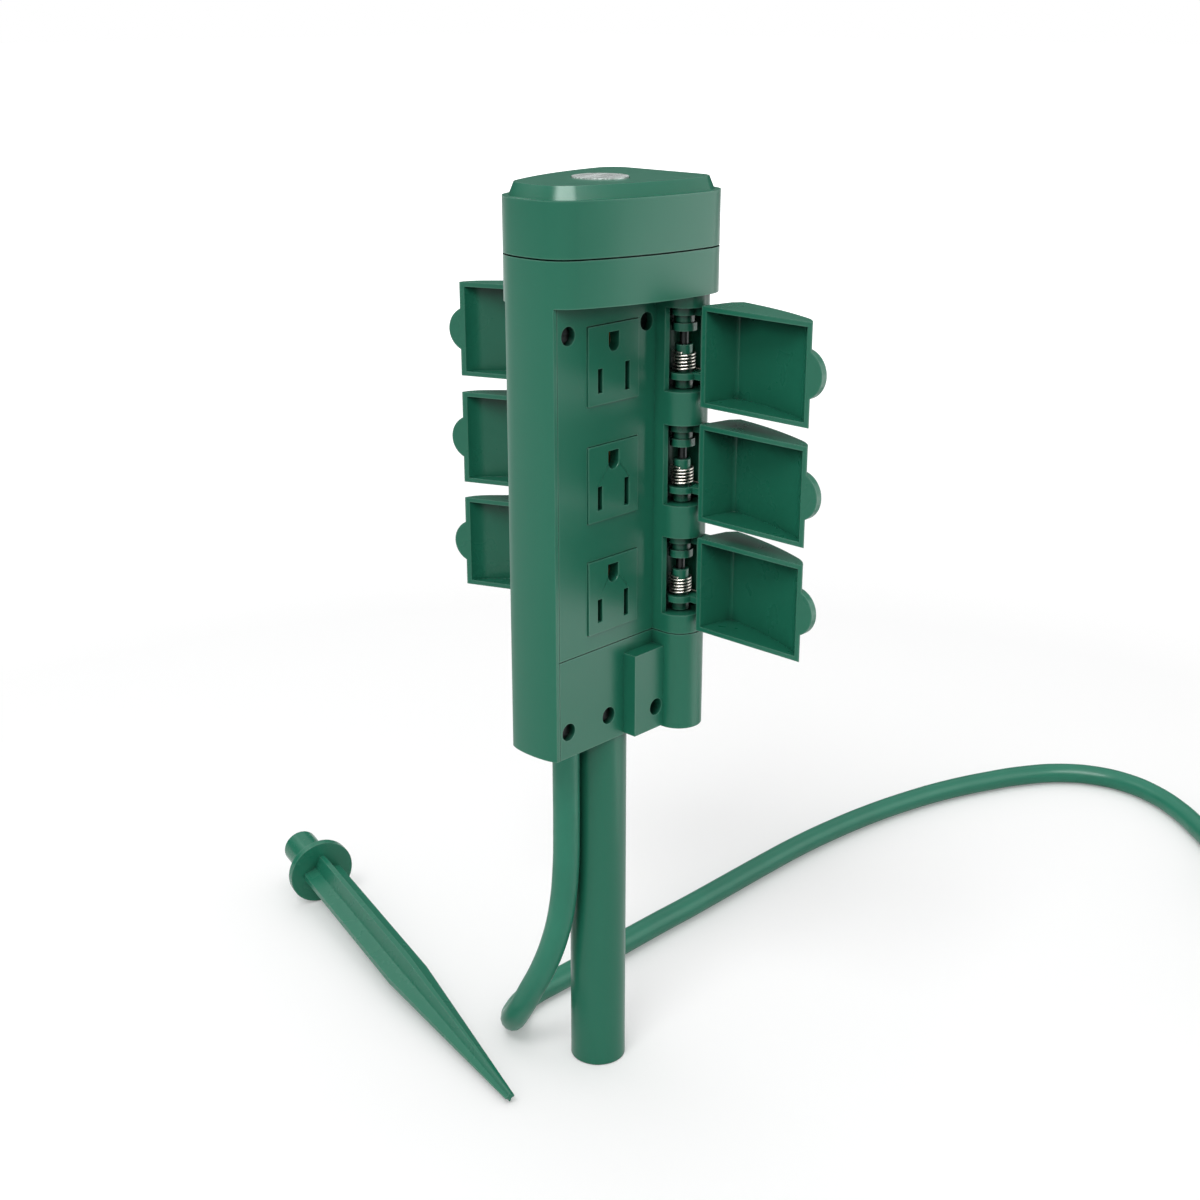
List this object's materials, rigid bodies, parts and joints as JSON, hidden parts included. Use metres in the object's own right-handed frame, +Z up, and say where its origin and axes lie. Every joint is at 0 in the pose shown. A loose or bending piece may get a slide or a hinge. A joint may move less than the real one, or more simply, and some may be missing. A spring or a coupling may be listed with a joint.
{
  "type": "garden socket spike",
  "caption": "Outdoor power stake: outlets with hinged weather covers on both faces, a push button on the head, a tube foot, a mains cord and a push-in ground spike.",
  "frame": {"origin": "centre of the pole's foot on the floor, at the mouth of the foot's bore", "axes": "+Z up along the pole, +X towards the hinge end, -Y out of the front outlets"},
  "size_m": [0.4242, 0.4141, 0.3182],
  "materials": {
    "housing": "satin moulded plastic, mid green",
    "cover": "satin moulded plastic, the same green, a little lighter",
    "spike": "satin moulded plastic, mid green",
    "cord": "satin green cord jacket",
    "rubber": "matt black",
    "black_plastic": "matt black",
    "button": "bright satin",
    "steel": "bright plated",
    "dark_steel": "dark plated screws and pins",
    "brass": "plain",
    "hot_wire": "black insulation",
    "neutral_wire": "white insulation",
    "ground_wire": "green insulation"
  },
  "bodies": {
    "stand": {"head_cap": "housing", "head_gasket": "rubber", "head_screws": "dark_steel", "button_spring": "steel", "power_switch": "black_plastic", "body_core": "housing", "face_upper_front": "housing", "face_upper_back": "housing", "face_lower_front": "housing", "face_lower_back": "housing", "insert_front_1": "housing", "insert_front_2": "housing", "insert_front_3": "housing", "insert_back_1": "housing", "insert_back_2": "housing", "insert_back_3": "housing", "hot_bar_front": "brass", "neutral_bar_front": "brass", "ground_bar_front": "brass", "hot_bar_back": "brass", "neutral_bar_back": "brass", "ground_bar_back": "brass", "hot_wire": "hot_wire", "neutral_wire": "neutral_wire", "ground_wire": "ground_wire", "face_screws": "dark_steel", "hinge_pins_front": "dark_steel", "hinge_pins_back": "dark_steel", "pole": "housing", "cord_gland": "rubber", "cord": "cord", "cord_coil": "cord", "cord_tail": "cord", "plug_body": "cord", "plug_blades": "brass", "plug_ground_pin": "brass", "spike": "spike"},
    "cover_front_1": {"cover_front_1": "cover", "spring_front_1": "steel"},
    "cover_front_2": {"cover_front_2": "cover", "spring_front_2": "steel"},
    "cover_front_3": {"cover_front_3": "cover", "spring_front_3": "steel"},
    "cover_back_1": {"cover_back_1": "cover", "spring_back_1": "steel"},
    "cover_back_2": {"cover_back_2": "cover", "spring_back_2": "steel"},
    "cover_back_3": {"cover_back_3": "cover", "spring_back_3": "steel"},
    "button": {"button": "button"}
  },
  "joints": [
    {"name": "cover_front_1_hinge", "type": "hinge", "parent": "stand", "child": "cover_front_1", "pos_m": [0.0243, -0.0158, 0.2497], "axis": [0, 0, 1], "range_deg": [-90, 15], "stiffness_Nm_per_rad": 0.005, "springref_deg": -90},
    {"name": "cover_front_2_hinge", "type": "hinge", "parent": "stand", "child": "cover_front_2", "pos_m": [0.0243, -0.0158, 0.2112], "axis": [0, 0, 1], "range_deg": [-90, 15], "stiffness_Nm_per_rad": 0.005, "springref_deg": -90},
    {"name": "cover_front_3_hinge", "type": "hinge", "parent": "stand", "child": "cover_front_3", "pos_m": [0.0243, -0.0158, 0.1727], "axis": [0, 0, 1], "range_deg": [-90, 15], "stiffness_Nm_per_rad": 0.005, "springref_deg": -90},
    {"name": "cover_back_1_hinge", "type": "hinge", "parent": "stand", "child": "cover_back_1", "pos_m": [0.0243, 0.0158, 0.2497], "axis": [0, 0, -1], "range_deg": [-68.5, 36.5], "stiffness_Nm_per_rad": 0.005, "springref_deg": -68.5},
    {"name": "cover_back_2_hinge", "type": "hinge", "parent": "stand", "child": "cover_back_2", "pos_m": [0.0243, 0.0158, 0.2112], "axis": [0, 0, -1], "range_deg": [-68.5, 36.5], "stiffness_Nm_per_rad": 0.005, "springref_deg": -68.5},
    {"name": "cover_back_3_hinge", "type": "hinge", "parent": "stand", "child": "cover_back_3", "pos_m": [0.0243, 0.0158, 0.1727], "axis": [0, 0, -1], "range_deg": [-68.5, 36.5], "stiffness_Nm_per_rad": 0.005, "springref_deg": -68.5},
    {"name": "button_press", "type": "slide", "parent": "stand", "child": "button", "axis": [0, 0, -1], "range_m": [0, 0.0015], "stiffness_N_per_m": 400, "deforming": ["button_spring"]}
  ]
}
